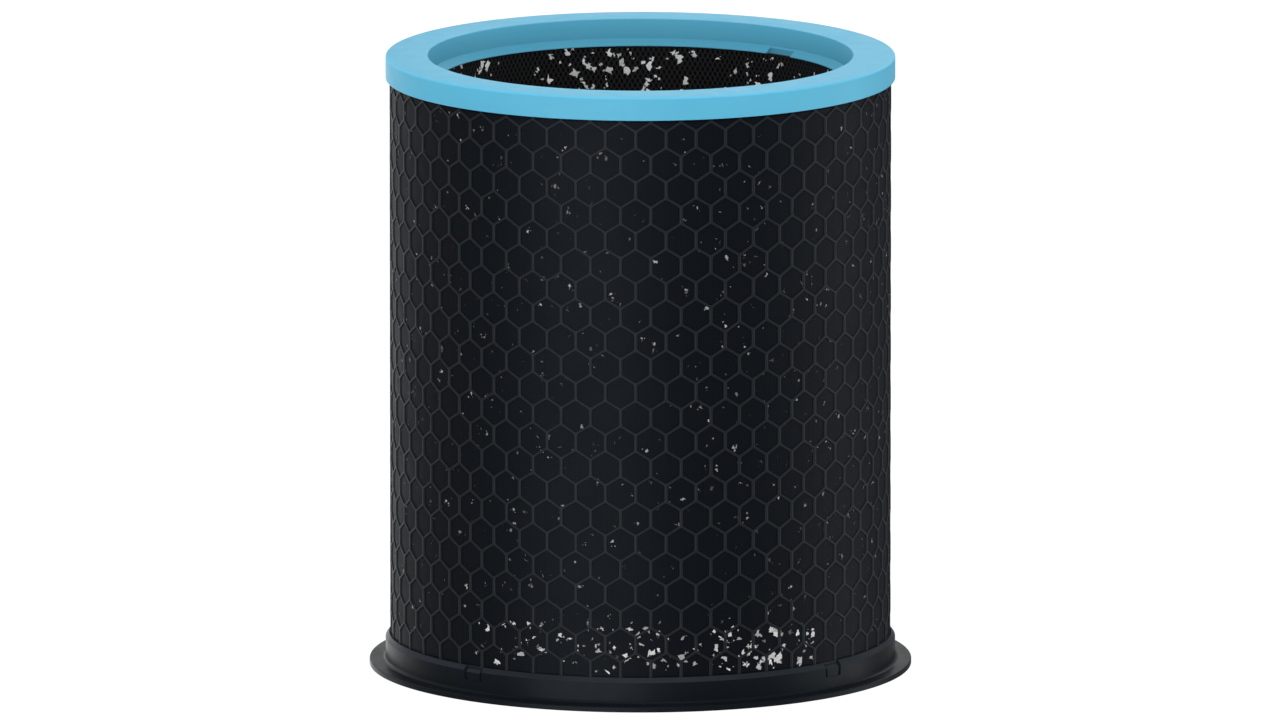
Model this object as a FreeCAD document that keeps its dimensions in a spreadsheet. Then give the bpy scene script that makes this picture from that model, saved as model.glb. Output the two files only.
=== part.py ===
import FreeCAD, Part
import Sketcher
import math
import os
import re

# A drum filter. A ring of granules stands between a perforated inner tube and a honeycomb cage
# with fine mesh moulded into its windows. A flanged cap closes the foot, and an open ring cap
# sits on the head.
# The origin is the middle of the underside and +Z runs up the drum's axis. Sizes are in mm.

SIZES = {
    # drum, outwards from the tube
    "outlet_dia": 178,
    "tube_step": 0.6,
    "tube_wall": 0.8,
    "bed_depth": 18.05,
    "cage_wall": 2.4,
    "mesh_wall": 0.4,
    "cage_height": 268.6,
    "cells_around": 52,
    "row_pitch": 11.27,
    "corner_drop": 4.1,
    "first_cell_turn": 2.41,
    "head_band": 7.5,
    "head_stub": 2.0,
    "groove_depth": 0.8,
    "groove_below": 2.7,
    "groove_tall": 2.0,
    # base cap
    "flange_reach": 7.15,
    "flange_thick": 2.4,
    "flange_bevel": 0.7,
    "collar_height": 11.5,
    "collar_wall": 1.7,
    "collar_slope_tall": 2.0,
    "collar_rim": 0.2,
    "band_cover": 0.9,
    "tab_turn": 49,
    "tab_count": 4,
    "tab_width": 7.8,
    "slit_width": 1.2,
    "slit_depth": 6.3,
    "tab_drop": 1.0,
    "tab_setback": 0.3,
    "lug_width": 5.0,
    # top cap
    "cap_plate": 2.0,
    "cap_wall": 1.5,
    "cap_bevel": 0.8,
    "skirt_height": 10.35,
    "skirt_wall": 1.45,
    "pocket_depth": 8.6,
    "pocket_taper": 1.4,
    "lip_reach": 3.6,
    "lip_drop": 2.6,
    "lip_rim": 0.4,
    "notch_turn": 46.5,
    "notch_count": 2,
    "notch_width": 14.8,
    "notch_depth": 2.6,
    # clearances
    "cap_gap": 0.3,
    "nest_gap": 0.2,
}

# Places that several pieces share, each worked out from the sizes above.
OUTLET_RADIUS = "(outlet_dia / 2)"
TUBE_BORE_RADIUS = f"({OUTLET_RADIUS} + tube_step)"
TUBE_RADIUS = f"({TUBE_BORE_RADIUS} + tube_wall)"
BED_BORE_RADIUS = f"({TUBE_RADIUS} + nest_gap)"
CAGE_BORE_RADIUS = f"({TUBE_RADIUS} + bed_depth)"
BED_RADIUS = f"({CAGE_BORE_RADIUS} * cos(180 deg / cells_around) - nest_gap)"
DRUM_RADIUS = f"({CAGE_BORE_RADIUS} + cage_wall)"
CAP_BORE_RADIUS = f"({DRUM_RADIUS} + cap_gap)"
COLLAR_RADIUS = f"({CAP_BORE_RADIUS} + collar_wall)"
COLLAR_TOP = "(flange_thick + collar_height)"
DRUM_FOOT = "flange_thick"
CAGE_TOP = f"({DRUM_FOOT} + cage_height)"
TOP_FACE = f"({CAGE_TOP} + cap_plate)"
LIP_FOOT = f"({TOP_FACE} - pocket_depth - lip_drop - lip_rim)"
CREASE_RADIUS = f"({OUTLET_RADIUS} + lip_reach)"
OPENING_RADIUS = f"({CREASE_RADIUS} + pocket_taper)"
CAP_WALL_RADIUS = f"({OPENING_RADIUS} + cap_wall)"
GROOVE_TOP = f"({COLLAR_TOP} - groove_below)"
GROOVE_FOOT = f"({GROOVE_TOP} - groove_tall)"

doc = FreeCAD.newDocument("DrumFilter")
sheet = doc.addObject("Spreadsheet::Sheet", "Sizes")
for row, (alias, number) in enumerate(SIZES.items(), start=1):
    sheet.set(f"A{row}", alias)
    sheet.set(f"B{row}", str(number))
    sheet.setAlias(f"B{row}", alias)
doc.recompute()


def linked(formula):
    """The formula with each size's name pointed at its cell in the sheet."""
    return re.sub(r"[a-z]+(?:_[a-z]+)+", lambda name: "Sizes." + name.group(0), formula)


def value(formula):
    """The formula's number, read from the sheet."""
    return float(sheet.evalExpression(formula))


def new_body(name):
    body = doc.addObject("PartDesign::Body", name)
    body.Label = name
    return body


def origin_part(body, role):
    return next(part for part in body.Origin.OriginFeatures if part.Role == role)


def new_sketch(body, name, plane="XY_Plane", lift=None):
    """A sketch on one of the body's own planes, raised by the formula lift."""
    sketch = body.newObject("Sketcher::SketchObject", name)
    sketch.AttachmentSupport = [(origin_part(body, plane), "")]
    sketch.MapMode = "FlatFace"
    if lift:
        sketch.setExpression("AttachmentOffset.Base.z", linked(lift))
    return sketch


def pin(sketch, line, end, across, up):
    """Holds one end of a line at two formulas, measured from the sketch's origin."""
    for kind, formula in (("DistanceX", across), ("DistanceY", up)):
        number = sketch.addConstraint(Sketcher.Constraint(kind, -1, 1, line, end, value(formula)))
        sketch.setExpression(f"Constraints[{number}]", linked(formula))


def draw_outline(sketch, corners):
    """Closes a profile with straight lines through corners given as (across, up) formulas."""
    first = sketch.GeometryCount
    count = len(corners)
    points = [FreeCAD.Vector(value(across), value(up), 0) for across, up in corners]
    for i in range(count):
        sketch.addGeometry(Part.LineSegment(points[i], points[(i + 1) % count]), False)
    for i in range(count):
        before = first + (i - 1) % count
        sketch.addConstraint(Sketcher.Constraint("Coincident", before, 2, first + i, 1))
        pin(sketch, first + i, 1, corners[i][0], corners[i][1])


def revolve(body, name, corners):
    """Turns a profile of (radius, height) corners once round the body's upright axis."""
    sketch = new_sketch(body, name + "_profile", "XZ_Plane")
    draw_outline(sketch, corners)
    turned = body.newObject("PartDesign::Revolution", name)
    turned.Profile = sketch
    turned.ReferenceAxis = (sketch, ["V_Axis"])
    turned.Angle = 360
    sketch.Visibility = False
    return turned


def draw_block(sketch, low, high, middle, width):
    """Draws a rectangle from low to high along X, of the given width about middle along Y."""
    bottom = f"({middle} - {width} / 2)"
    top = f"({middle} + {width} / 2)"
    draw_outline(sketch, [(low, bottom), (high, bottom), (high, top), (low, top)])


def pocket_down(body, name, top, depth, blocks):
    """Cuts blocks of (low, high, middle, width) down from the height top."""
    sketch = new_sketch(body, name + "_plan", lift=top)
    for block in blocks:
        draw_block(sketch, *block)
    cut = body.newObject("PartDesign::Pocket", name)
    cut.Profile = sketch
    cut.Reversed = False
    cut.setExpression("Length", linked(depth))
    sketch.Visibility = False
    return cut


def repeat_round(body, name, features, count):
    """Repeats features evenly round the body's upright axis."""
    doc.recompute()
    pattern = body.newObject("PartDesign::PolarPattern", name)
    pattern.Originals = features
    pattern.Axis = (origin_part(body, "Z_Axis"), [""])
    pattern.Angle = 360
    pattern.setExpression("Occurrences", linked(count))
    body.Tip = pattern
    return pattern


def turn_body(body, turn):
    """Turns a finished body about the upright axis by a size in degrees."""
    body.Placement = FreeCAD.Placement(FreeCAD.Vector(), FreeCAD.Vector(0, 0, 1), value(turn))
    body.setExpression("Placement.Rotation.Angle", linked(turn) + " * 1 deg")


def make_prism(name, radius, foot, head):
    """An upright prism with one flat side for each cell round the cage."""
    prism = doc.addObject("Part::Prism", name)
    prism.setExpression("Polygon", linked("cells_around"))
    prism.setExpression("Circumradius", linked(radius))
    prism.setExpression("Height", linked(f"{head} - {foot}"))
    prism.setExpression("Placement.Base.z", linked(foot))
    return prism


def make_filling(name, bore, outer, foot, head):
    """A soft ring that fills the space between two radii, out of sight, so its sides are flats.
    The corners of its outside touch the outer radius and the flats of its bore the inner one."""
    ring = doc.addObject("Part::Cut", name)
    ring.Label = name
    ring.Base = make_prism(name + "_outside", outer, foot, head)
    bore_corner = f"{bore} / cos(180 deg / cells_around)"
    ring.Tool = make_prism(name + "_bore", bore_corner, f"({foot} - 1)", f"({head} + 1)")
    return ring


def make_inner_tube():
    """The round tube that lines the air passage, from the base cap's floor to the top cap's lip."""
    body = new_body("inner_tube")
    revolve(body, "tube_wall", [
        (TUBE_BORE_RADIUS, DRUM_FOOT),
        (TUBE_RADIUS, DRUM_FOOT),
        (TUBE_RADIUS, LIP_FOOT),
        (TUBE_BORE_RADIUS, LIP_FOOT),
    ])
    return body


def make_base_cap():
    """The foot: a closed floor with a wide flange, and a collar with snap tabs."""
    body = new_body("base_cap")
    flange_radius = f"({COLLAR_RADIUS} + flange_reach)"
    revolve(body, "base_shell", [
        ("0", "0"),
        (flange_radius, "0"),
        (flange_radius, "flange_thick - flange_bevel"),
        (f"{flange_radius} - flange_bevel", "flange_thick"),
        (COLLAR_RADIUS, "flange_thick"),
        (COLLAR_RADIUS, f"{COLLAR_TOP} - collar_slope_tall"),
        (f"{CAP_BORE_RADIUS} + collar_rim", COLLAR_TOP),
        (CAP_BORE_RADIUS, COLLAR_TOP),
        (CAP_BORE_RADIUS, DRUM_FOOT),
        ("0", DRUM_FOOT),
    ])
    inside = f"({CAP_BORE_RADIUS} - 1)"
    outside = f"({COLLAR_RADIUS} + 1)"
    slit_middle = "((tab_width + slit_width) / 2)"
    slits = pocket_down(body, "slits", COLLAR_TOP, "slit_depth", [
        (inside, outside, slit_middle, "slit_width"),
        (inside, outside, f"(0 - {slit_middle})", "slit_width"),
    ])
    tab_heads = pocket_down(body, "tab_heads", COLLAR_TOP, "tab_drop", [
        (inside, outside, "0", "(tab_width + slit_width)"),
    ])
    tab_faces = pocket_down(body, "tab_faces", COLLAR_TOP, "slit_depth", [
        (f"({COLLAR_RADIUS} - tab_setback)", outside, "0", "(tab_width + slit_width)"),
    ])
    lug = make_lug(body)
    repeat_round(body, "tabs", [slits, tab_heads, tab_faces, lug], "tab_count")
    turn_body(body, "tab_turn")
    return body


def make_lug(body):
    """The hook inside one tab, with a sloped lead-in on top, which sits in the cage's groove."""
    sketch = new_sketch(body, "lug_profile", "XZ_Plane")
    root = f"({CAP_BORE_RADIUS} + tab_setback)"
    tip = f"({DRUM_RADIUS} - groove_depth + cap_gap)"
    draw_outline(sketch, [
        (tip, f"({GROOVE_FOOT} + nest_gap)"),
        (root, f"({GROOVE_FOOT} + nest_gap)"),
        (root, f"({GROOVE_TOP} - nest_gap)"),
        (tip, f"({GROOVE_FOOT} + groove_tall / 2)"),
    ])
    lug = body.newObject("PartDesign::Pad", "lug")
    lug.Profile = sketch
    lug.Midplane = True
    lug.setExpression("Length", linked("lug_width"))
    sketch.Visibility = False
    return lug


def make_top_cap():
    """The head: skirt, flat face, drafted pocket wall and a lip that slopes to a thin rim round
    the air outlet, with a notch on each side."""
    body = new_body("top_cap")
    skirt_radius = f"({CAP_BORE_RADIUS} + skirt_wall)"
    skirt_foot = f"({TOP_FACE} - skirt_height)"
    lip_edge = f"({TOP_FACE} - pocket_depth - lip_drop)"
    revolve(body, "cap_shell", [
        (OUTLET_RADIUS, LIP_FOOT),
        (CAP_WALL_RADIUS, LIP_FOOT),
        (CAP_WALL_RADIUS, CAGE_TOP),
        (CAP_BORE_RADIUS, CAGE_TOP),
        (CAP_BORE_RADIUS, skirt_foot),
        (skirt_radius, skirt_foot),
        (skirt_radius, f"{TOP_FACE} - cap_bevel"),
        (f"{skirt_radius} - cap_bevel", TOP_FACE),
        (OPENING_RADIUS, TOP_FACE),
        (CREASE_RADIUS, f"{TOP_FACE} - pocket_depth"),
        (OUTLET_RADIUS, lip_edge),
    ])
    notch = pocket_down(body, "notch", TOP_FACE, f"{TOP_FACE} - {LIP_FOOT} + 1", [
        (f"({OUTLET_RADIUS} - 2)", f"({OUTLET_RADIUS} + notch_depth)", "0", "notch_width"),
    ])
    repeat_round(body, "notches", [notch], "notch_count")
    turn_body(body, "notch_turn")
    return body


def make_honeycomb_cage():
    """A sleeve of six-sided windows, closed by their mesh. Each window is a shallow pocket whose
    slopes meet its neighbours' along the thin ribs, and the windows of the two end rows run into
    plain bands. The foot band has a groove for the base cap's lugs."""
    count = int(value("cells_around"))
    radius = value(DRUM_RADIUS)
    bore = value(CAGE_BORE_RADIUS)
    window_floor = bore + value("mesh_wall")
    groove_floor = radius - value("groove_depth")
    foot, head = value(DRUM_FOOT), value(CAGE_TOP)
    low_band = value(f"{COLLAR_TOP} - band_cover")
    high_band = head - value("head_band")
    pitch, drop, stub = value("row_pitch"), value("corner_drop"), value("head_stub")
    half_cell = math.pi / count
    turn = math.radians(value("first_cell_turn"))
    rows = int((high_band - stub - drop - low_band - stub / 2) / pitch)

    def at(step, up, out=radius):
        """A point some half cells round the drum from the front, -Y, towards +X."""
        angle = turn + (step % (2 * count)) * half_cell
        return FreeCAD.Vector(out * math.sin(angle), -out * math.cos(angle), up)

    def peak(zigzag):
        """The height of the upper corners of one zigzag of ribs. The lower ones are a drop below."""
        return high_band - stub - zigzag * pitch

    def window(step, corners):
        """The sloped faces from the edges of a window's outline to the middle of its floor."""
        middle = (max(up for side, up in corners) + min(up for side, up in corners)) / 2
        apex = at(step, middle, window_floor)
        points = [at(step + side, up) for side, up in corners]
        return [[points[i - 1], points[i], apex] for i in range(len(points))]

    def closed(points):
        return Part.makePolygon(points + points[:1])

    def ring(out, up, first=0):
        return [at(step, up, out) for step in range(first, first + 2 * count, 2)]

    def wall(low, high):
        return [[low[i - 1], low[i], high[i], high[i - 1]] for i in range(len(low))]

    flats = []
    for step in range(1, 2 * count, 2):
        top_dip = peak(0) - drop
        flats += window(step, [(1, high_band), (-1, high_band), (-1, peak(0)), (0, top_dip), (1, peak(0))])
    for row in range(rows):
        high, low = peak(row), peak(row + 1)
        outline = [(0, high), (-1, high - drop), (-1, low), (0, low - drop), (1, low), (1, high - drop)]
        for step in range(row % 2, 2 * count, 2):
            flats += window(step, outline)
    last = peak(rows)
    for step in range(rows % 2, 2 * count, 2):
        flats += window(step, [(0, last), (-1, last - drop), (-1, low_band), (1, low_band), (1, last - drop)])

    foot_turn = (rows + 1) % 2
    foot_profile = [
        (radius, foot),
        (radius, value(GROOVE_FOOT)),
        (groove_floor, value(GROOVE_FOOT)),
        (groove_floor, value(GROOVE_TOP)),
        (radius, value(GROOVE_TOP)),
        (radius, low_band),
    ]
    for low, high in zip(foot_profile, foot_profile[1:]):
        flats += wall(ring(*low, foot_turn), ring(*high, foot_turn))
    flats += wall(ring(radius, high_band), ring(radius, head))
    flats += wall(ring(bore, head), ring(bore, foot))

    faces = [Part.Face(closed(corners)) for corners in flats]
    for up, first in ((foot, foot_turn), (head, 0)):
        rims = [closed(ring(radius, up, first)), closed(ring(bore, up))]
        end = Part.makeFace(rims, "Part::FaceMakerBullseye")
        faces.append(end if up == head else end.reversed())
    shell = Part.makeShell(faces)
    shell.sewShape()
    cage = doc.addObject("Part::Feature", "honeycomb_cage")
    cage.Label = "honeycomb_cage"
    cage.Shape = Part.Solid(shell)
    cage.Placement = FreeCAD.Placement()
    return cage


def check_and_write(parts):
    """Stops on any failed object or shape, then writes one file for each sub-part."""
    for item in doc.Objects:
        if "Invalid" in item.State or "Error" in item.State:
            raise RuntimeError(f"{item.Name} failed: {item.State}")
    for part in parts:
        if part.Shape.isNull() or not part.Shape.isValid() or not part.Shape.Solids:
            raise RuntimeError(f"{part.Label} has no sound solid")
    os.makedirs("parts", exist_ok=True)
    for part in parts:
        part.Shape.exportStep(f"parts/{part.Label}.step")
        print(part.Label, len(part.Shape.Solids), "solid", round(part.Shape.Volume / 1000, 2), "cm3")


sub_parts = [
    make_base_cap(),
    make_honeycomb_cage(),
    make_filling("carbon_bed", BED_BORE_RADIUS, BED_RADIUS, DRUM_FOOT, LIP_FOOT),
    make_inner_tube(),
    make_filling("top_pad", f"({CAP_WALL_RADIUS} + nest_gap)", BED_RADIUS, LIP_FOOT, CAGE_TOP),
    make_top_cap(),
]
doc.recompute()
check_and_write(sub_parts)
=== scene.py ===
import bpy
import math
import numpy as np
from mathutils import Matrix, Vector


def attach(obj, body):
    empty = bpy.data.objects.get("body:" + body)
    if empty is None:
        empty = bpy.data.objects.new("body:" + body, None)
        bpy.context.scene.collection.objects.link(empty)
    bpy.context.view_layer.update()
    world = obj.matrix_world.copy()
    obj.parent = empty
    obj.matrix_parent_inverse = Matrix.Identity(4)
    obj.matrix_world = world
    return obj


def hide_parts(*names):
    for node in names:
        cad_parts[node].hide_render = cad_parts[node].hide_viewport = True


# A drum filter: black honeycomb cage over fine mesh, carbon granules with white flakes behind it,
# a perforated inner tube, a black flanged base cap and a blue ring cap.
# +Z goes up the drum's axis. A turn is an angle from the front, -Y, towards +X.
# The pieces' dictionaries are in millimetres. Materials, lights and the camera are in metres.

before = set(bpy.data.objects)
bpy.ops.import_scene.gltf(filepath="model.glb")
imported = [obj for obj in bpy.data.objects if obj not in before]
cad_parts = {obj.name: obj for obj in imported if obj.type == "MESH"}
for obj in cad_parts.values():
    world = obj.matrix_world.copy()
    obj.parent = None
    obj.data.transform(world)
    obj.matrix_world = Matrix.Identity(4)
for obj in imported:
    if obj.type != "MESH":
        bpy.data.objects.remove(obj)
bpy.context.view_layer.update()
millimetre = 0.001


# Meshes

weldReach = 2e-7    # metres: points this close become one
wallTurn = 1e-4     # radians: the turn over which the wall of a cut stands
sameTurn = 1e-9     # radians: turns this close are the same


# Places (radius * sin turn, -radius * cos turn, height), for whole arrays at once.
def onCylinder(radius, turn, height):
    radius, turn, height = np.broadcast_arrays(radius, turn, height)
    return np.stack([radius * np.sin(turn), -radius * np.cos(turn), height], axis=-1)


# One turn for each column, evenly from -pi up.
def evenTurns(columns):
    return np.arange(columns) * 2 * math.pi / columns - math.pi


# Even turns, with a close pair of turns at each wall of each cut. The cuts' middles are in degrees
# and their half widths in radians. Also gives each turn's distance from the nearest middle.
def turnsWithCuts(columns, middles, halfWidths):
    middles, walls = np.radians(middles), np.array(halfWidths)
    walls = np.concatenate([walls, walls + wallTurn])
    cutTurns = middles[:, None] + np.concatenate([-walls, walls])
    turns = np.sort(np.concatenate([evenTurns(columns), cutTurns.ravel()]))
    return turns, np.min(np.abs(turns[:, None] - middles), axis=1)


# Two triangles for each square between neighbouring points of a grid, numbered row by row. The
# columns always close round the drum, and the rows do where wrapRows says so.
def gridTriangles(rows, columns, wrapRows=False):
    strips = rows if wrapRows else rows - 1
    row, column = np.meshgrid(np.arange(strips), np.arange(columns), indexing="ij")
    nextRow, nextColumn = (row + 1) % rows, (column + 1) % columns
    a, b = row * columns + column, row * columns + nextColumn
    c, d = nextRow * columns + nextColumn, nextRow * columns + column
    halves = [np.stack([a, b, c], axis=-1), np.stack([a, c, d], axis=-1)]
    return np.concatenate([half.reshape(-1, 3) for half in halves])


# Makes a piece from points in millimetres. Points that share a place are welded, and triangles
# that then have no area are dropped.
def buildPiece(name, points, triangles, materials, faceMaterial=None, sharpAngle=32, tone=None):
    points = points * millimetre
    _, first, merged = np.unique(np.round(points / weldReach).astype(np.int64), axis=0,
                                 return_index=True, return_inverse=True)
    triangles = merged.reshape(-1)[triangles]
    kept = (triangles != np.roll(triangles, 1, axis=1)).all(axis=1)
    mesh = bpy.data.meshes.new(name)
    mesh.from_pydata(points[first].tolist(), [], triangles[kept].tolist())
    for material in materials:
        mesh.materials.append(material)
    if faceMaterial is not None:
        mesh.polygons.foreach_set("material_index", faceMaterial[kept].astype(np.int32))
    if tone is not None:
        attribute = mesh.attributes.new("tone", "FLOAT", "POINT")
        attribute.data.foreach_set("value", tone[first].astype(np.float32))
    mesh.polygons.foreach_set("use_smooth", np.ones(len(mesh.polygons), bool))
    mesh.set_sharp_from_angle(angle=math.radians(sharpAngle))
    piece = bpy.data.objects.new(name, mesh)
    bpy.context.scene.collection.objects.link(piece)
    print(name, len(mesh.polygons), "triangles")
    return piece


# Makes a piece from a grid of points: rows along a closed profile, columns round the axis.
def buildTurned(name, points, material, tone=None):
    rows, columns = points.shape[:2]
    if tone is not None:
        tone = np.broadcast_to(tone, (rows, columns)).ravel()
    triangles = gridTriangles(rows, columns, wrapRows=True)
    return buildPiece(name, points.reshape(-1, 3), triangles, [material], tone=tone)


# Turns corners of (across, up, round) into a closed profile: each round corner is an arc of that
# radius, tangent to both of its edges, drawn as steps + 1 points. A corner with no round, or one
# that is nearly straight, stays a single point.
def roundedProfile(corners, steps):
    nearlyStraight = 0.01
    profile = []
    for i, (across, up, reach) in enumerate(corners):
        corner = np.array([across, up])
        before, after = np.array(corners[i - 1][:2]), np.array(corners[(i + 1) % len(corners)][:2])
        back, ahead = before - corner, after - corner
        back, ahead = back / np.linalg.norm(back), ahead / np.linalg.norm(ahead)
        half = math.acos(np.clip(back @ ahead, -1, 1)) / 2
        if reach == 0 or half > math.pi / 2 - nearlyStraight:
            profile.append(corner)
            continue
        middle = corner + (back + ahead) / np.linalg.norm(back + ahead) * reach / math.sin(half)
        start = corner + back * reach / math.tan(half) - middle
        end = corner + ahead * reach / math.tan(half) - middle
        sweep = math.pi - 2 * half
        share = np.linspace(0, 1, steps + 1)[:, None]
        arc = (start * np.sin((1 - share) * sweep) + end * np.sin(share * sweep)) / math.sin(sweep)
        profile.extend(middle + arc)
    return np.array(profile)


# Materials

# A new material, its node tree and its shader.
def startMaterial(name):
    material = bpy.data.materials.new(name)
    material.use_nodes = True
    return material, material.node_tree, material.node_tree.nodes["Principled BSDF"]


# One Math node. Each value is a number or another node's socket.
def compute(tree, operation, *values):
    node = tree.nodes.new("ShaderNodeMath")
    node.operation = operation
    for i, value in enumerate(values):
        if isinstance(value, (int, float)):
            node.inputs[i].default_value = value
        else:
            tree.links.new(value, node.inputs[i])
    return node.outputs[0]


# The sine or cosine of value * rate.
def wave(tree, operation, value, rate):
    return compute(tree, operation, compute(tree, "MULTIPLY", value, rate))


# The place on the piece, in metres from the frame's origin.
def objectPlace(tree):
    return tree.nodes.new("ShaderNodeTexCoord").outputs["Object"]


# The turn round the drum's axis as a share of a whole turn, and the height in metres.
def cylinderPlace(tree):
    split = tree.nodes.new("ShaderNodeSeparateXYZ")
    tree.links.new(objectPlace(tree), split.inputs[0])
    turn = compute(tree, "ARCTAN2", split.outputs[0], compute(tree, "MULTIPLY", split.outputs[1], -1))
    return compute(tree, "DIVIDE", turn, 2 * math.pi), split.outputs[2]


# Noise from 0 to 1 whose blotches are about size metres wide.
def speckle(tree, size, detail, roughness=0.5):
    noise = tree.nodes.new("ShaderNodeTexNoise")
    tree.links.new(objectPlace(tree), noise.inputs["Vector"])
    noise.inputs["Scale"].default_value = 1 / size
    noise.inputs["Detail"].default_value = detail
    noise.inputs["Roughness"].default_value = roughness
    return noise.outputs[0]


# From the low colour to the high one. Each is a colour or another node's socket. The Mix node's
# colours are its inputs 6 and 7 and its output 2.
def blendColours(tree, share, low, high):
    mix = tree.nodes.new("ShaderNodeMix")
    mix.data_type = "RGBA"
    tree.links.new(share, mix.inputs[0])
    for socket, colour in ((mix.inputs[6], low), (mix.inputs[7], high)):
        if isinstance(colour, tuple):
            socket.default_value = (*colour, 1)
        else:
            tree.links.new(colour, socket)
    return mix.outputs[2]


# Carries the range from low to high over to the one from toLow to toHigh, and stops at its ends.
def stretch(tree, value, low, high, toLow=0.0, toHigh=1.0):
    remap = tree.nodes.new("ShaderNodeMapRange")
    tree.links.new(value, remap.inputs[0])
    for i, number in enumerate((low, high, toLow, toHigh), start=1):
        remap.inputs[i].default_value = number
    return remap.outputs[0]


# The "tone" that a mesh carries at each point: a flake's own tone, or painted highlight and painted
# shade on the caps.
def pointTone(tree):
    tone = tree.nodes.new("ShaderNodeAttribute")
    tone.attribute_name = "tone"
    return tone.outputs["Fac"]


# Shades the surface as if it rose by height * distance, in metres.
def addBump(tree, shader, height, distance, strength=1.0):
    bump = tree.nodes.new("ShaderNodeBump")
    bump.inputs["Strength"].default_value = strength
    bump.inputs["Distance"].default_value = distance
    tree.links.new(height, bump.inputs["Height"])
    tree.links.new(bump.outputs[0], shader.inputs["Normal"])


coolTint = (0.84, 0.93, 1.0)
mould = dict(
    cloudSize=30 * millimetre, glossSize=8 * millimetre, glossRange=(0.3, 0.7),
    grainSize=0.35 * millimetre, grainDepth=0.006 * millimetre,
)


# Plastic with cloudy tone, uneven gloss and the fine grain of a spark-eroded mould. Where it is
# toned, the tone at each point scales the colour; on the caps that tone is painted highlight and
# painted shade.
def mouldedPlastic(name, dark, light, roughness, specular, tint=(1, 1, 1), toned=False):
    material, tree, shader = startMaterial(name)
    colour = blendColours(tree, speckle(tree, mould["cloudSize"], detail=4.0), dark, light)
    if toned:
        scale = tree.nodes.new("ShaderNodeVectorMath")
        scale.operation = "SCALE"
        tree.links.new(colour, scale.inputs[0])
        tree.links.new(pointTone(tree), scale.inputs["Scale"])
        colour = scale.outputs[0]
    tree.links.new(colour, shader.inputs["Base Color"])
    patches = speckle(tree, mould["glossSize"], detail=3.0)
    tree.links.new(stretch(tree, patches, *mould["glossRange"], *roughness), shader.inputs["Roughness"])
    shader.inputs["Specular IOR Level"].default_value = specular
    shader.inputs["Specular Tint"].default_value = (*tint, 1)
    addBump(tree, shader, speckle(tree, mould["grainSize"], detail=1.0), mould["grainDepth"])
    return material


weave = dict(
    threadsAround=866, threadPitch=0.8 * millimetre, coverRange=(0.55, 0.95),
    relief=0.05 * millimetre, reliefStrength=0.5, thread=(0.0037, 0.0053, 0.0085),
    hole=(0.0005, 0.0007, 0.001), dust=(0.0022, 0.0022, 0.0016), dustSize=12 * millimetre,
    holeRoughness=0.92, threadGloss=(0.43, 0.51), glossSize=20 * millimetre, glossRange=(0.3, 0.7),
    specular=0.03,
)


# Fine square weave: threads stand up as the larger of two sine waves, one round the drum and
# one up it. The holes between them are nearly black, with a little dust in places, and dull.
def wovenMesh(weave):
    material, tree, shader = startMaterial("wovenMesh")
    around, up = cylinderPlace(tree)
    warp = compute(tree, "ABSOLUTE", wave(tree, "SINE", around, math.pi * weave["threadsAround"]))
    weft = compute(tree, "ABSOLUTE", wave(tree, "SINE", up, math.pi / weave["threadPitch"]))
    threads = compute(tree, "MAXIMUM", warp, weft)
    cover = stretch(tree, threads, *weave["coverRange"])
    patches = speckle(tree, weave["glossSize"], detail=2.0)
    gloss = stretch(tree, patches, *weave["glossRange"], *weave["threadGloss"])
    dusty = speckle(tree, weave["dustSize"], detail=3.0)
    behind = blendColours(tree, dusty, weave["hole"], weave["dust"])
    tree.links.new(blendColours(tree, cover, behind, weave["thread"]), shader.inputs["Base Color"])
    shader.inputs["Specular IOR Level"].default_value = weave["specular"]
    shader.inputs["Specular Tint"].default_value = (*coolTint, 1)
    smoother = compute(tree, "MULTIPLY", cover, gloss)
    roughness = compute(tree, "SUBTRACT", weave["holeRoughness"], smoother)
    tree.links.new(roughness, shader.inputs["Roughness"])
    addBump(tree, shader, threads, weave["relief"], weave["reliefStrength"])
    return material


net = dict(
    holesAround=240, rowPitch=2.03 * millimetre, holeRange=(0.02, 0.22), relief=0.3 * millimetre,
    web=(0.0118, 0.0121, 0.0131), hole=(0.0, 0.0, 0.0), roughness=0.5, specular=0.03,
)


# Round holes in staggered rows: cos(2 pi u) * cos(pi v) is highest at each hole's middle.
def perforatedNet(net):
    material, tree, shader = startMaterial("perforatedNet")
    around, up = cylinderPlace(tree)
    across = wave(tree, "COSINE", around, 2 * math.pi * net["holesAround"])
    along = wave(tree, "COSINE", up, math.pi / net["rowPitch"])
    hole = stretch(tree, compute(tree, "MULTIPLY", across, along), *net["holeRange"])
    tree.links.new(blendColours(tree, hole, net["web"], net["hole"]), shader.inputs["Base Color"])
    shader.inputs["Specular IOR Level"].default_value = net["specular"]
    shader.inputs["Roughness"].default_value = net["roughness"]
    addBump(tree, shader, compute(tree, "SUBTRACT", 1.0, hole), net["relief"])
    return material


chalk = dict(
    gritSize=0.6 * millimetre, gritRange=(0.25, 0.75), gritTone=(0.65, 1.0),
    roughness=0.8, specular=0.3,
)


# Chalky flakes. Each flake carries its own tone, from dark to light, and grit breaks it up.
def flakeWhite(name, dark, light):
    material, tree, shader = startMaterial(name)
    grit = speckle(tree, chalk["gritSize"], detail=2.0)
    worn = stretch(tree, grit, *chalk["gritRange"], *chalk["gritTone"])
    share = compute(tree, "MULTIPLY", pointTone(tree), worn)
    tree.links.new(blendColours(tree, share, dark, light), shader.inputs["Base Color"])
    shader.inputs["Roughness"].default_value = chalk["roughness"]
    shader.inputs["Specular IOR Level"].default_value = chalk["specular"]
    return material


granules = dict(
    size=2.5 * millimetre, relief=0.8 * millimetre, roughness=0.85,
    dark=(0.004, 0.004, 0.004), light=(0.03, 0.03, 0.032),
)


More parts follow.
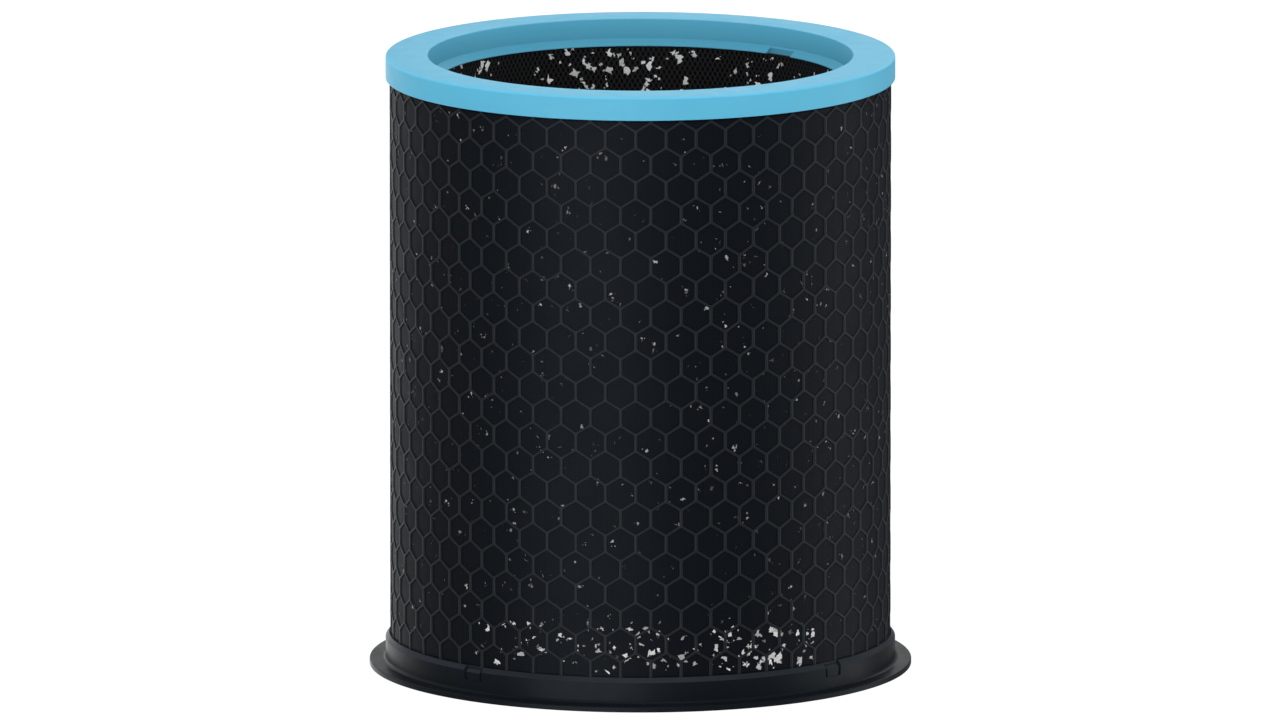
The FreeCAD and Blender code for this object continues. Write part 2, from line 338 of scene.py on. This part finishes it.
# Packed granules: each Voronoi cell is one grain with its own grey.
def granuleFill(granules):
    material, tree, shader = startMaterial("granuleFill")
    cells = tree.nodes.new("ShaderNodeTexVoronoi")
    tree.links.new(objectPlace(tree), cells.inputs["Vector"])
    cells.inputs["Scale"].default_value = 1 / granules["size"]
    colour = blendColours(tree, cells.outputs["Color"], granules["dark"], granules["light"])
    tree.links.new(colour, shader.inputs["Base Color"])
    shader.inputs["Roughness"].default_value = granules["roughness"]
    addBump(tree, shader, cells.outputs["Distance"], granules["relief"])
    return material


foam = dict(
    pitSize=1.2 * millimetre, relief=0.8 * millimetre, roughness=0.95,
    dark=(0.01, 0.01, 0.01), light=(0.05, 0.05, 0.052),
)


# Dark foam pitted by coarse noise.
def openFoam(foam):
    material, tree, shader = startMaterial("openFoam")
    pits = speckle(tree, foam["pitSize"], detail=4.0, roughness=0.7)
    tree.links.new(blendColours(tree, pits, foam["dark"], foam["light"]), shader.inputs["Base Color"])
    shader.inputs["Roughness"].default_value = foam["roughness"]
    addBump(tree, shader, pits, foam["relief"])
    return material


blueMoulding = mouldedPlastic(
    "blueMoulding", dark=(0.1, 0.43, 0.63), light=(0.11, 0.455, 0.655),
    roughness=(0.4, 0.48), specular=0.05, toned=True)
blackMoulding = mouldedPlastic(
    "blackMoulding", dark=(0.0052, 0.0069, 0.0093), light=(0.0075, 0.0097, 0.0127),
    roughness=(0.3, 0.37), specular=0.025, tint=coolTint, toned=True)
ribMoulding = mouldedPlastic(
    "ribMoulding", dark=(0.0115, 0.0138, 0.0168), light=(0.0155, 0.0178, 0.021),
    roughness=(0.4, 0.48), specular=0.035, tint=coolTint)
windowWeave = wovenMesh(weave)
tubeNet = perforatedNet(net)
dimFlake = flakeWhite("dimFlake", dark=(0.015, 0.015, 0.016), light=(0.42, 0.42, 0.43))
brightFlake = flakeWhite("brightFlake", dark=(0.1, 0.1, 0.1), light=(0.84, 0.84, 0.83))
tubeFlake = flakeWhite("tubeFlake", dark=(0.15, 0.15, 0.15), light=(0.97, 0.97, 0.96))
print("materials made")


# Top cap

topCap = dict(
    height=273.0, plate=2.0, skirtFoot=262.65, lipFoot=261.4,
    skirt=112.6, bore=111.15, wall=95.5, opening=94.0, crease=92.6, outlet=89.0,
    pocketDepth=8.6, lipDrop=2.6,
    outerRound=0.9, openingRound=0.4, footRound=0.4, creaseRound=0.25, lipRound=0.25, hiddenRound=0.12,
    notchTurns=(-43.5, 136.5), notchFloor=91.6, notchWidth=14.8, columns=1080,
    # The edge's tone is a painted highlight on the outer edge's round; the lip's and crease's tones are
    # painted shade.
    edgeHighlightTone=1.2, edgeShare=0.95, lipShadeTone=0.78, creaseShadeTone=0.76, creaseShare=1.2,
)


# A profile turned round the axis. At each notch the lip's points move out to a flat floor at
# notchFloor / cos(turn from the notch's middle) and ride up the lip's slope. The tone paints a
# highlight on most of the outer edge's round, and paints shade on the lip and in the crease above it.
def makeTopCap(cap):
    top, creaseUp = cap["height"], cap["height"] - cap["pocketDepth"]
    plateFoot, lipUp = top - cap["plate"], creaseUp - cap["lipDrop"]
    profile = roundedProfile([
        (cap["outlet"], cap["lipFoot"], cap["hiddenRound"]),
        (cap["wall"], cap["lipFoot"], cap["hiddenRound"]),
        (cap["wall"], plateFoot, cap["hiddenRound"]),
        (cap["bore"], plateFoot, cap["hiddenRound"]),
        (cap["bore"], cap["skirtFoot"], cap["hiddenRound"]),
        (cap["skirt"], cap["skirtFoot"], cap["footRound"]),
        (cap["skirt"], top, cap["outerRound"]),
        (cap["opening"], top, cap["openingRound"]),
        (cap["crease"], creaseUp, cap["creaseRound"]),
        (cap["outlet"], lipUp, cap["lipRound"]),
    ], steps=6)
    across, up = profile[:, :1], profile[:, 1:]

    half = math.asin(cap["notchWidth"] / 2 / cap["notchFloor"])
    turns, offset = turnsWithCuts(cap["columns"], cap["notchTurns"], [half])
    floor = np.where(offset <= half + sameTurn, cap["notchFloor"] / np.cos(offset), 0)
    pushed = np.maximum(across, floor)
    slope = cap["lipDrop"] / (cap["crease"] - cap["outlet"])
    onSlope = (pushed > across) & (up > (cap["lipFoot"] + lipUp) / 2)
    lifted = np.where(onSlope, lipUp + (pushed - cap["outlet"]) * slope, up)

    # Painted highlight on most of the outer edge's round, painted shade in the crease and on the lip.
    highlightReach = cap["edgeShare"] * cap["outerRound"]
    atEdge = (across > cap["skirt"] - highlightReach) & (up > top - highlightReach)
    nearCrease = cap["creaseShare"] * cap["creaseRound"]
    atCrease = np.hypot(across - cap["crease"], up - creaseUp) < nearCrease
    onLip = across < cap["crease"]
    tones = [cap["creaseShadeTone"], cap["edgeHighlightTone"], cap["lipShadeTone"]]
    tone = np.select([atCrease, atEdge, onLip], tones, default=1.0)
    piece = buildTurned("topCapShell", onCylinder(pushed, turns, lifted), blueMoulding, tone)
    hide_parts("top_cap")
    return piece


# Base cap

baseCap = dict(
    flange=120.0, flangeThick=2.4, flangeRound=0.5, soleRound=0.25, rootRound=1.5, edgeRound=0.2,
    collar=112.85, collarTop=13.9, slopeTall=2.0, slopeWide=1.5, slopeRound=0.4, rimRound=0.08,
    bore=111.15, floor=2.4,
    tabTurns=(-131.0, -41.0, 49.0, 139.0), tabWidth=7.8, tabDrop=1.0, tabSetback=0.3,
    # The slope's tone is a painted highlight on the slope under the collar's top.
    slitWidth=1.2, slitDepth=6.3, slitStep=0.01, columns=1080, slopeHighlightTone=2.5, slopeMargin=0.05,
)


# A profile turned round the axis. Above the slits' foot, a slit's columns fall to that foot, and
# a tab's are squeezed down to its lower top and stand back from the collar's face. The slope under
# the collar's top is painted paler, as a painted highlight.
def makeBaseCap(cap):
    top, slitFoot = cap["collarTop"], cap["collarTop"] - cap["slitDepth"]
    slopeIn, slopeFoot = cap["collar"] - cap["slopeWide"], top - cap["slopeTall"]
    profile = roundedProfile([
        (0, 0, 0),
        (cap["flange"], 0, cap["soleRound"]),
        (cap["flange"], cap["flangeThick"], cap["flangeRound"]),
        (cap["collar"], cap["flangeThick"], cap["rootRound"]),
        (cap["collar"], slitFoot, 0),
        (cap["collar"], slitFoot + cap["slitStep"], 0),
        (cap["collar"], slopeFoot, cap["slopeRound"]),
        (slopeIn, top, cap["rimRound"]),
        (cap["bore"], top, cap["rimRound"]),
        (cap["bore"], slitFoot + cap["slitStep"], 0),
        (cap["bore"], slitFoot, 0),
        (cap["bore"], cap["floor"], cap["edgeRound"]),
        (0, cap["floor"], 0),
    ], steps=5)
    across, up = profile[:, :1], profile[:, 1:]

    tabHalf = cap["tabWidth"] / 2 / cap["collar"]
    slitHalf = tabHalf + cap["slitWidth"] / cap["collar"]
    turns, offset = turnsWithCuts(cap["columns"], cap["tabTurns"], [tabHalf, slitHalf])
    onTab = offset <= tabHalf + sameTurn
    inSlit = ~onTab & (offset <= slitHalf + sameTurn)
    above = up > slitFoot + cap["slitStep"] / 2
    squeeze = 1 - cap["tabDrop"] / cap["slitDepth"]
    height = np.where(above & onTab, slitFoot + (up - slitFoot) * squeeze, up)
    height = np.where(above & inSlit, slitFoot, height)
    reach = np.where(above & onTab & (across > slopeIn), across - cap["tabSetback"], across)

    # Painted highlight: the slope under the collar's top is made paler.
    margin = cap["slopeMargin"]
    onSlope = (up > slopeFoot - margin) & (across > cap["bore"] + margin)
    tone = np.where(onSlope, cap["slopeHighlightTone"], 1.0)
    piece = buildTurned("baseCapShell", onCylinder(reach, turns, height), blackMoulding, tone)
    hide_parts("base_cap")
    return piece


# Honeycomb cage

cage = dict(
    radius=110.85, foot=2.4, head=271.0, bore=108.45, cells=52, rows=21, rowPitch=11.27,
    cornerDrop=4.1, firstTurn=2.41, firstPeak=261.5, highBand=263.5, lowBand=13.0,
    uprightRib=1.45, slantRib=1.05, cornerReach=1.6, cornerRound=0.75, cornerCut=0.15,
    windowDepth=0.5, crown=0.04, bevel=0.14, bevelDrop=0.16, draft=0.06,
    pillow=0.12, unevenness=0.06, seed=5, sharpAngle=40,
)


# Four rings of points round a window, as (across, up) arrays with three points for each corner:
# the ribs' middle lines, the edge of their flat, the foot of the bevel and the window's floor.
# An inner ring's corner is where its two shifted edges meet, and its other points lie along them.
def windowRings(cage, corners, halfRibs):
    corners = np.array(corners, float)
    ahead = np.roll(corners, -1, axis=0) - corners
    ahead /= np.linalg.norm(ahead, axis=1, keepdims=True)
    back = -np.roll(ahead, 1, axis=0)
    bisector = back + ahead
    bisector /= np.linalg.norm(bisector, axis=1, keepdims=True)
    inward = np.stack([-ahead[:, 1], ahead[:, 0]], axis=1)
    inwardBefore = np.roll(inward, 1, axis=0)
    cross = inwardBefore[:, 0] * inward[:, 1] - inwardBefore[:, 1] * inward[:, 0]

    reach = cage["cornerReach"]
    rings = [np.stack([corners + back * reach, corners, corners + ahead * reach], axis=1)]
    reach, cut = cage["cornerRound"], cage["cornerCut"] * cage["cornerRound"]
    for shift in (-cage["bevel"], 0.0, cage["draft"]):
        here = np.array(halfRibs, float) + shift
        before = np.roll(here, 1)
        move = np.stack([before * inward[:, 1] - here * inwardBefore[:, 1],
                         here * inwardBefore[:, 0] - before * inward[:, 0]], axis=1)
        middle = corners + move / cross[:, None]
        corner = [middle + back * reach, middle + bisector * cut, middle + ahead * reach]
        rings.append(np.stack(corner, axis=1))
    return [ring.reshape(-1, 2) for ring in rings]


# Repeats one window at every (step, height): rows of ring points and a middle, as points, triangles
# and whether each triangle is mesh. Across is laid round the drum as turn = step + across / radius.
def windowPatch(cage, rings, steps, heights, rng):
    radius, count = cage["radius"], len(rings[0])
    depths = [0, cage["crown"], cage["bevelDrop"], cage["windowDepth"]]
    turns = math.radians(cage["firstTurn"]) + np.asarray(steps)[:, None] * math.pi / cage["cells"]
    layers = [onCylinder(radius - depth, turns + ring[:, 0] / radius, heights[:, None] + ring[:, 1])
              for ring, depth in zip(rings, depths)]
    centre = rings[-1].mean(axis=0)
    bulge = cage["pillow"] + cage["unevenness"] * rng.standard_normal((len(turns), 1))
    layers.append(onCylinder(radius - cage["windowDepth"] + bulge, turns + centre[0] / radius,
                             heights[:, None] + centre[1]))
    points = np.concatenate(layers, axis=1)

    strips = gridTriangles(len(rings), count)
    rim = (len(rings) - 1) * count + np.arange(count)
    fan = np.stack([rim, np.roll(rim, -1), np.full(count, len(rings) * count)], axis=1)
    one = np.concatenate([strips, fan])
    isMesh = np.concatenate([np.zeros(len(strips), int), np.ones(len(fan), int)])
    triangles = one + np.arange(len(turns))[:, None, None] * points.shape[1]
    return points.reshape(-1, 3), triangles.reshape(-1, 3), np.tile(isMesh, len(turns))


# Windows in staggered rows, joined along the ribs' middle lines. Plain bands, the two ends and the
# bore close the sleeve. The half rows at the head and the foot are cut off by the bands.
def makeCage(cage):
    rng = np.random.default_rng(cage["seed"])
    half = math.pi / cage["cells"] * cage["radius"]
    drop, pitch = cage["cornerDrop"], cage["rowPitch"]
    upright, slant = cage["uprightRib"] / 2, cage["slantRib"] / 2
    low, lastPeak = -pitch, cage["firstPeak"] - cage["rows"] * pitch
    headRise, footFall = cage["highBand"] - cage["firstPeak"], cage["lowBand"] - lastPeak
    full = windowRings(
        cage, [(0, low - drop), (half, low), (half, -drop), (0, 0), (-half, -drop), (-half, low)],
        [slant, upright, slant, slant, upright, slant])
    headCut = windowRings(
        cage, [(0, -drop), (half, 0), (half, headRise), (-half, headRise), (-half, 0)],
        [slant, upright, upright, upright, slant])
    footCut = windowRings(
        cage, [(-half, footFall), (half, footFall), (half, -drop), (0, 0), (-half, -drop)],
        [upright, upright, slant, slant, upright])

    row, cell = np.divmod(np.arange(cage["rows"] * cage["cells"]), cage["cells"])
    oddSteps = np.arange(cage["cells"]) * 2 + 1
    patches = [
        windowPatch(cage, full, cell * 2 + row % 2, cage["firstPeak"] - row * pitch, rng),
        windowPatch(cage, headCut, oddSteps, np.full(cage["cells"], cage["firstPeak"]), rng),
        windowPatch(cage, footCut, oddSteps, np.full(cage["cells"], lastPeak), rng),
    ]
    across = np.array([-half, -half + cage["cornerReach"], half - cage["cornerReach"]])
    turns = (math.radians(cage["firstTurn"]) + oddSteps[:, None] * math.pi / cage["cells"]
             + across / cage["radius"]).ravel()
    profile = np.array([
        (cage["radius"], cage["highBand"]),
        (cage["radius"], cage["head"]),
        (cage["bore"], cage["head"]),
        (cage["bore"], cage["foot"]),
        (cage["radius"], cage["foot"]),
        (cage["radius"], cage["lowBand"]),
    ])
    bands = onCylinder(profile[:, :1], turns, profile[:, 1:]).reshape(-1, 3)
    bandTriangles = gridTriangles(len(profile), len(turns))
    patches.append((bands, bandTriangles, np.zeros(len(bandTriangles), int)))

    starts = np.cumsum([0] + [len(points) for points, _, _ in patches[:-1]])
    points = np.concatenate([patch[0] for patch in patches])
    triangles = np.concatenate([patch[1] + start for patch, start in zip(patches, starts)])
    isMesh = np.concatenate([patch[2] for patch in patches])
    piece = buildPiece("cageShell", points, triangles, [ribMoulding, windowWeave],
                       faceMaterial=isMesh, sharpAngle=cage["sharpAngle"])
    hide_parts("honeycomb_cage")
    return piece


# Inner tube

tube = dict(bore=89.6, outside=90.4, foot=2.4, head=261.4, edgeRound=0.1, columns=720)


# A thin wall turned round the axis.
def makeTube(tube):
    profile = roundedProfile([
        (tube["bore"], tube["foot"], tube["edgeRound"]),
        (tube["outside"], tube["foot"], tube["edgeRound"]),
        (tube["outside"], tube["head"], tube["edgeRound"]),
        (tube["bore"], tube["head"], tube["edgeRound"]),
    ], steps=2)
    points = onCylinder(profile[:, :1], evenTurns(tube["columns"]), profile[:, 1:])
    piece = buildTurned("tubeNet", points, tubeNet)
    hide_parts("inner_tube")
    return piece


# Flakes

# Shares that make a lump ragged: how far a corner strays from its even turn, how near the middle
# it may come, how flat a lump is, and how much of its lift the crest and the rim have.
ragged = dict(stray=0.35, nearest=0.25, nearPower=1.5, squash=(0.4, 1.0), lift=(0.4, 1.0), rimLift=0.5)

# How far a crumb strays, in sizes of its lump, and its size and tone as shares of the lump's.
crumb = dict(spread=0.85, size=(0.25, 0.7), tone=(0.5, 1.1))

# Dim specks all over the drum, mostly small.
outerFlakes = dict(
    radius=110.42, facing=1, corners=9, lift=0.3, sink=0.1, seed=11, count=1900, crumbs=2,
    spreadTurn=math.pi, turnPower=1.0, lowest=20.0, highest=262.0,
    smallest=0.3, largest=1.5, sizePower=2.2, growth=(1.0, 1.0), tones=(0.0, 1.0), tonePower=1.8,
)

# Bright flakes that settled near the foot, at the front. They are denser and larger to the right.
bandFlakes = dict(
    radius=110.4, facing=1, corners=11, lift=0.35, sink=0.1, seed=23, count=110, crumbs=1,
    spreadTurn=0.76, turnPower=0.8, lowest=16.0, highest=36.0,
    smallest=0.6, largest=3.1, sizePower=1.4, growth=(0.75, 1.1), tones=(0.25, 1.0), tonePower=1.0,
)

# Bright flakes in the holes of the inner tube.
innerFlakes = dict(
    radius=89.6, facing=-1, corners=11, lift=0.35, sink=0.1, seed=37, count=4300, crumbs=1,
    spreadTurn=math.pi, turnPower=1.0, lowest=5.0, highest=260.6,
    smallest=0.7, largest=3.6, sizePower=2.0, growth=(1.0, 1.0), tones=(0.3, 1.0), tonePower=0.5,
)


# Flat ragged lumps laid on a cylinder. A lump's rim goes round its middle at a random share of its
# size, and a crest stands over the middle on each side. facing is 1 outwards and -1 inwards.
def layLumps(name, flakes, turns, heights, sizes, tones, material, rng):
    corners, radius, facing = flakes["corners"], flakes["radius"], flakes["facing"]
    count = len(turns)
    stray = ragged["stray"] * rng.uniform(-1, 1, (count, corners))
    angle = (np.arange(corners) + stray) * 2 * math.pi / corners
    share = rng.uniform(0, 1, (count, corners)) ** ragged["nearPower"]
    reach = sizes[:, None] * (ragged["nearest"] + (1 - ragged["nearest"]) * share)
    lean, squash = rng.uniform(0, math.pi, (count, 1)), rng.uniform(*ragged["squash"], (count, 1))
    along, beside = reach * np.cos(angle), reach * np.sin(angle) * squash
    across = (along * np.cos(lean) - beside * np.sin(lean)) * facing
    up = along * np.sin(lean) + beside * np.cos(lean)
    lift = flakes["lift"] * rng.uniform(*ragged["lift"], (count, 1))
    rim = onCylinder(radius + facing * lift * ragged["rimLift"], turns[:, None] + across / radius,
                     heights[:, None] + up)
    crest = onCylinder(radius + facing * lift, turns[:, None], heights[:, None])
    back = onCylinder(radius - facing * flakes["sink"], turns[:, None], heights[:, None])
    points = np.concatenate([rim, crest, back], axis=1)

    here = np.arange(corners)
    ahead = np.roll(here, -1)
    front = np.stack([here, ahead, np.full(corners, corners)], axis=1)
    rear = np.stack([ahead, here, np.full(corners, corners + 1)], axis=1)
    one = np.concatenate([front, rear])
    triangles = (one + np.arange(count)[:, None, None] * points.shape[1]).reshape(-1, 3)
    tone = np.repeat(tones, points.shape[1])
    return buildPiece(name, points.reshape(-1, 3), triangles, [material], tone=tone)


# Adds crumbs to each lump, as many as crumbs says: each a normal step away, smaller than the lump
# and with its own tone.
def crumble(turns, heights, sizes, tones, radius, crumbs, rng):
    spread = rng.normal(0, 1, (2, len(turns), crumbs)) * sizes[:, None] * crumb["spread"]
    share = rng.uniform(*crumb["size"], (len(turns), crumbs))
    crumbTurns = turns[:, None] + spread[0] / radius
    crumbHeights = heights[:, None] + spread[1]
    crumbSizes = sizes[:, None] * share
    crumbTones = np.clip(tones[:, None] * rng.uniform(*crumb["tone"], share.shape), 0, 1)
    return [np.concatenate([lump, extra.ravel()]) for lump, extra in (
        (turns, crumbTurns), (heights, crumbHeights), (sizes, crumbSizes), (tones, crumbTones))]


# Lumps and their crumbs at turn = spreadTurn * (2 * share - 1), where share is a random number from
# 0 to 1, raised to turnPower. Towards the right, growth scales a lump's size from its first value
# to its second.
def scatterFlakes(name, flakes, material):
    rng = np.random.default_rng(flakes["seed"])
    count = flakes["count"]
    share = rng.uniform(0, 1, count) ** flakes["turnPower"]
    turns = flakes["spreadTurn"] * (2 * share - 1)
    heights = rng.uniform(flakes["lowest"], flakes["highest"], count)
    bigness = rng.uniform(0, 1, count) ** flakes["sizePower"]
    sizes = flakes["smallest"] + (flakes["largest"] - flakes["smallest"]) * bigness
    sizes = sizes * np.interp(share, (0, 1), flakes["growth"])
    tones = rng.uniform(*flakes["tones"], count) ** flakes["tonePower"]
    lumps = crumble(turns, heights, sizes, tones, flakes["radius"], flakes["crumbs"], rng)
    piece = layLumps(name, flakes, *lumps, material, rng)
    return piece


pieces = [
    makeTopCap(topCap),
    makeBaseCap(baseCap),
    makeCage(cage),
    makeTube(tube),
    scatterFlakes("outerFlakes", outerFlakes, dimFlake),
    scatterFlakes("bandFlakes", bandFlakes, brightFlake),
    scatterFlakes("innerFlakes", innerFlakes, tubeFlake),
]
for piece in pieces:
    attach(piece, "root")
for node, material in (("carbon_bed", granuleFill(granules)), ("top_pad", openFoam(foam))):
    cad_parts[node].data.materials.clear()
    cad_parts[node].data.materials.append(material)
print("pieces made")


# Stage

stage = dict(
    floorHalf=9.0, floorWhite=(0.85, 0.85, 0.85), floorRoughness=0.9, glow=0.9, keptShadow=0.2,
    backdrop=(1, 1, 1), ambient=0.68, aimHeight=0.14,
)

# Turns in degrees, power in watts.
softboxes = [
    dict(name="frontBox", turn=-6, height=1.35, distance=1.5, width=1.3, tall=0.8, power=10.5),
    dict(name="backBox", turn=165, height=1.0, distance=1.6, width=1.2, tall=0.8, power=4),
    dict(name="leftBox", turn=-105, height=1.0, distance=1.6, width=1.2, tall=0.8, power=3),
    dict(name="rightBox", turn=95, height=1.0, distance=1.6, width=1.2, tall=0.8, power=4),
    dict(name="topBox", turn=-8, height=1.6, distance=1.1, width=0.7, tall=0.7, power=2),
]

# Panels that only reflections see. Seen from above, the drum's wall mirrors what lies low, so the
# first three reach below the floor, and make the pale bands that run up the drum. The high one
# brightens slopes and rounded edges.
mirrorPanels = [
    dict(name="frontMirror", turn=-23.5, height=-0.15, distance=1.6, width=1.5, tall=1.2, power=44),
    dict(name="rightMirror", turn=93, height=-0.15, distance=1.6, width=1.35, tall=1.2, power=16),
    dict(name="leftMirror", turn=-145, height=-0.15, distance=1.6, width=1.5, tall=1.2, power=5),
    dict(name="highMirror", turn=0, height=1.6, distance=0.75, width=1.8, tall=0.7, power=15),
]

# A grey card that keeps the drum's right edge dark.
greyCard = dict(name="rightFlag", turn=150, height=-0.15, distance=1.6, width=1.4, tall=1.2, glow=0.3)


# 1 for the rays that see the backdrop: camera, glossy and transmission rays.
def backgroundRay(tree):
    path = tree.nodes.new("ShaderNodeLightPath").outputs
    seen = compute(tree, "MAXIMUM", path["Is Camera Ray"], path["Is Glossy Ray"])
    return compute(tree, "MAXIMUM", seen, path["Is Transmission Ray"])


# A pale floor that glows for those rays and keeps a share of the shadow on it. Reflections leave it
# out, because walls mirror the panels that reach below it.
def makeFloor(stage):
    half = stage["floorHalf"]
    mesh = bpy.data.meshes.new("floor")
    corners = [(-half, -half, 0), (half, -half, 0), (half, half, 0), (-half, half, 0)]
    mesh.from_pydata(corners, [], [(0, 1, 2, 3)])
    floor = bpy.data.objects.new("floor", mesh)
    bpy.context.scene.collection.objects.link(floor)
    material, tree, shader = startMaterial("floorWhite")
    shader.inputs["Base Color"].default_value = (*stage["floorWhite"], 1)
    shader.inputs["Roughness"].default_value = stage["floorRoughness"]
    glow = tree.nodes.new("ShaderNodeEmission")
    mix = tree.nodes.new("ShaderNodeMixShader")
    glowShare = 1 - stage["keptShadow"]
    tree.links.new(compute(tree, "MULTIPLY", backgroundRay(tree), glowShare), mix.inputs[0])
    tree.links.new(shader.outputs[0], mix.inputs[1])
    tree.links.new(glow.outputs[0], mix.inputs[2])
    glow.inputs["Strength"].default_value = stage["glow"] / glowShare
    tree.links.new(mix.outputs[0], tree.nodes["Material Output"].inputs["Surface"])
    mesh.materials.append(material)
    floor.visible_glossy = False
    floor.visible_shadow = False


# Even light all round, and a white backdrop.
def makeWorld(stage):
    world = bpy.data.worlds.new("studio")
    bpy.context.scene.world = world
    world.use_nodes = True
    tree = world.node_tree
    backdrop = tree.nodes["Background"]
    backdrop.inputs["Color"].default_value = (*stage["backdrop"], 1)
    strength = stretch(tree, backgroundRay(tree), 0, 1, stage["ambient"], 1.0)
    tree.links.new(strength, backdrop.inputs["Strength"])


# A panel light that faces the drum's middle. One with mirroredOnly is seen in reflections and
# lights nothing else.
def addSoftbox(box, mirroredOnly=False):
    light = bpy.data.lights.new(box["name"], "AREA")
    light.shape = "RECTANGLE"
    light.size, light.size_y = box["width"], box["tall"]
    light.energy = box["power"]
    place = Vector(onCylinder(box["distance"], math.radians(box["turn"]), box["height"]))
    aim = Vector((0, 0, stage["aimHeight"]))
    softbox = bpy.data.objects.new(box["name"], light)
    softbox.visible_camera = False
    softbox.visible_diffuse = not mirroredOnly
    softbox.location = place
    softbox.rotation_euler = (aim - place).to_track_quat("-Z", "Y").to_euler()
    bpy.context.scene.collection.objects.link(softbox)


# A glowing card that only reflections see. It stands upright and square to the radius at its turn.
def addFlag(card):
    turn = math.radians(card["turn"])
    sideways = np.array([math.cos(turn), math.sin(turn), 0])
    sides = np.array([-1, 1, 1, -1])[:, None] * sideways * card["width"] / 2
    corners = onCylinder(card["distance"], turn, card["height"]) + sides
    corners[:, 2] += np.array([-1, -1, 1, 1]) * card["tall"] / 2
    mesh = bpy.data.meshes.new(card["name"])
    mesh.from_pydata(corners.tolist(), [], [(0, 1, 2, 3)])
    material, tree, shader = startMaterial("flagGrey")
    shader.inputs["Base Color"].default_value = (0, 0, 0, 1)
    shader.inputs["Specular IOR Level"].default_value = 0
    shader.inputs["Emission Color"].default_value = (1, 1, 1, 1)
    shader.inputs["Emission Strength"].default_value = card["glow"]
    mesh.materials.append(material)
    flag = bpy.data.objects.new(card["name"], mesh)
    flag.visible_camera = flag.visible_diffuse = flag.visible_shadow = False
    bpy.context.scene.collection.objects.link(flag)


makeFloor(stage)
makeWorld(stage)
for box in softboxes:
    addSoftbox(box)
for panel in mirrorPanels:
    addSoftbox(panel, mirroredOnly=True)
addFlag(greyCard)

# The photo's view: tilt in degrees, sensor in millimetres, the rest in metres. frameWidth is what
# the picture spans at the drum. From much further off, other views cut the drum away.
view = dict(tilt=10.28, aside=-0.00018, lookAt=0.1358, distance=14.5, frameWidth=0.5663, sensor=36.0)
camera = bpy.data.cameras.new("camera")
camera.sensor_width = view["sensor"]
camera.lens = view["sensor"] * view["distance"] / view["frameWidth"]
cameraObject = bpy.data.objects.new("camera", camera)
bpy.context.scene.collection.objects.link(cameraObject)
target = Vector((view["aside"], 0, view["lookAt"]))
tilt = math.radians(view["tilt"])
cameraObject.location = target + Vector((0, -math.cos(tilt), math.sin(tilt))) * view["distance"]
cameraObject.rotation_euler = (target - cameraObject.location).to_track_quat("-Z", "Y").to_euler()
bpy.context.scene.camera = cameraObject
bpy.context.scene.view_settings.view_transform = "Standard"
print("stage made")
